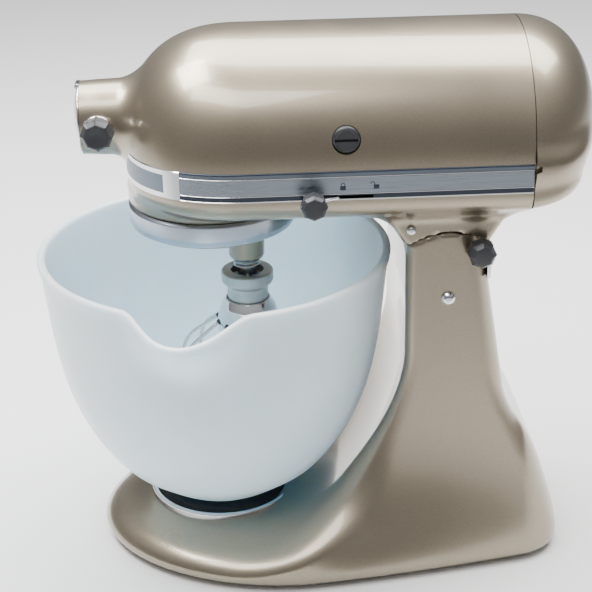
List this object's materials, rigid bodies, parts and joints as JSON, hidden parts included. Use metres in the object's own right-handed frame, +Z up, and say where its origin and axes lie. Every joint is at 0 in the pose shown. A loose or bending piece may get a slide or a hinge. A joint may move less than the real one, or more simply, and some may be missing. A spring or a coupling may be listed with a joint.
{
  "type": "stand mixer",
  "caption": "Tilt-head stand mixer with a planetary wire whisk, a frosted glass pouring bowl on a twist-lock plate, a trim band, and a front attachment hub.",
  "frame": {"origin": "middle of the object's box on the surface it stands on", "axes": "+Z up; X along the machine, with the attachment hub and bowl towards -X and the motor's rear cover towards +X; -Y is the side with the head lock lever, +Y the side with the speed lever"},
  "size_m": [0.3589, 0.2863, 0.354],
  "materials": {
    "paint": "champagne gold metallic gloss enamel",
    "glass": "frosted glass, satin",
    "chrome": "polished chrome",
    "steel": "plain steel",
    "cast": "burnished cast aluminium",
    "ring": "satin anodised",
    "band": "brushed, lengthwise grain",
    "black": "moulded satin plastic",
    "rubber": "soft moulded rubber",
    "brass": "machined",
    "copper": "wound copper and laminated steel",
    "carbon": "pressed carbon",
    "board": "laminated board"
  },
  "bodies": {
    "base": {"pedestal": "paint", "foot_front": "rubber", "foot_left": "rubber", "foot_right": "rubber", "foot_rear_left": "rubber", "foot_rear_right": "rubber", "bowl_clamp_plate": "chrome", "clamp_screw_1": "steel", "clamp_screw_2": "steel", "clamp_screw_3": "steel", "hinge_pin": "chrome", "height_screw": "steel", "rear_plate": "chrome"},
    "rear_knob": {"rear_knob": "black"},
    "bowl": {"bowl": "glass", "bowl_foot": "rubber"},
    "head": {"motor_housing": "paint", "gearbox_housing": "paint", "rear_cover": "paint", "rear_cover_screw": "chrome", "trim_band": "band", "drip_ring": "ring", "ear_screw": "chrome", "brush_cap_right": "black", "brush_cap_left": "black", "brush_right": "carbon", "brush_left": "carbon", "stator": "copper", "bearing_front": "brass", "bearing_rear": "brass", "bracket_front": "cast", "bracket_rear": "cast", "control_board": "board", "ring_gear": "steel"},
    "hub_cover": {"hub_cover": "chrome"},
    "attachment_knob": {"attachment_knob": "black"},
    "lock_lever": {"lock_lever": "chrome", "lock_knob": "black"},
    "speed_lever": {"speed_lever": "chrome", "speed_knob": "black"},
    "motor": {"motor_shaft": "steel", "armature": "copper", "cooling_fan": "black"},
    "worm_wheel": {"worm_wheel": "brass"},
    "planetary": {"planetary_hub": "paint", "centre_shaft": "steel"},
    "beater": {"beater_shaft": "steel", "planet_pinion": "steel", "beater_pin": "steel", "shaft_spring": "steel"},
    "whisk": {"whisk_hub": "cast", "whisk_cap": "chrome", "whisk_loop_1": "steel", "whisk_loop_2": "steel", "whisk_loop_3": "steel", "whisk_loop_4": "steel", "whisk_loop_5": "steel", "whisk_loop_6": "steel"},
    "attachment_drive": {"hub_pinion": "steel", "attachment_socket": "steel"}
  },
  "joints": [
    {"name": "head_tilt", "type": "hinge", "parent": "base", "child": "head", "pos_m": [0.0825, 0, 0.1891], "axis": [0, 1, 0], "range_deg": [0, 45]},
    {"name": "bowl_twist", "type": "hinge", "parent": "base", "child": "bowl", "pos_m": [-0.0638, 0, 0.026], "axis": [0, 0, 1], "range_deg": [0, 25]},
    {"name": "rear_knob_turn", "type": "hinge", "parent": "base", "child": "rear_knob", "pos_m": [0.1012, -0.06, 0.223], "axis": [0, -1, 0], "range_deg": [-180, 180]},
    {"name": "hub_cover_swing", "type": "hinge", "parent": "head", "child": "hub_cover", "pos_m": [-0.1446, 0, 0.3192], "axis": [0, 1, 0], "range_deg": [0, 100]},
    {"name": "attachment_knob_turn", "type": "hinge", "parent": "head", "child": "attachment_knob", "pos_m": [-0.132, -0.026, 0.298], "axis": [0, -1, 0], "range_deg": [0, 360]},
    {"name": "lock_slide", "type": "slide", "parent": "head", "child": "lock_lever", "axis": [1, 0, 0], "range_m": [0, 0.02]},
    {"name": "speed_slide", "type": "slide", "parent": "head", "child": "speed_lever", "axis": [1, 0, 0], "range_m": [0, 0.03]},
    {"name": "planetary_spin", "type": "hinge", "parent": "head", "child": "planetary", "pos_m": [-0.0638, 0, 0.23], "axis": [0, 0, 1], "continuous": true},
    {"name": "beater_spin", "type": "hinge", "parent": "planetary", "child": "beater", "pos_m": [-0.0428, 0, 0.21], "axis": [0, 0, 1], "continuous": true},
    {"name": "whisk_lift", "type": "slide", "parent": "beater", "child": "whisk", "axis": [0, 0, 1], "range_m": [0, 0.005]},
    {"name": "worm_wheel_spin", "type": "hinge", "parent": "head", "child": "worm_wheel", "pos_m": [-0.0338, 0.028, 0.29], "axis": [0, 0, 1], "continuous": true},
    {"name": "motor_spin", "type": "hinge", "parent": "head", "child": "motor", "pos_m": [0.0362, 0, 0.3], "axis": [1, 0, 0], "continuous": true},
    {"name": "attachment_drive_spin", "type": "hinge", "parent": "head", "child": "attachment_drive", "pos_m": [-0.1138, 0, 0.298], "axis": [1, 0, 0], "continuous": true}
  ],
  "couplings": [
    {"joint": "beater_spin", "follows": "planetary_spin", "ratio": -2.75},
    {"joint": "worm_wheel_spin", "follows": "planetary_spin", "ratio": -2.7273},
    {"joint": "motor_spin", "follows": "planetary_spin", "ratio": -65.455},
    {"joint": "attachment_drive_spin", "follows": "planetary_spin", "ratio": -1.5}
  ]
}
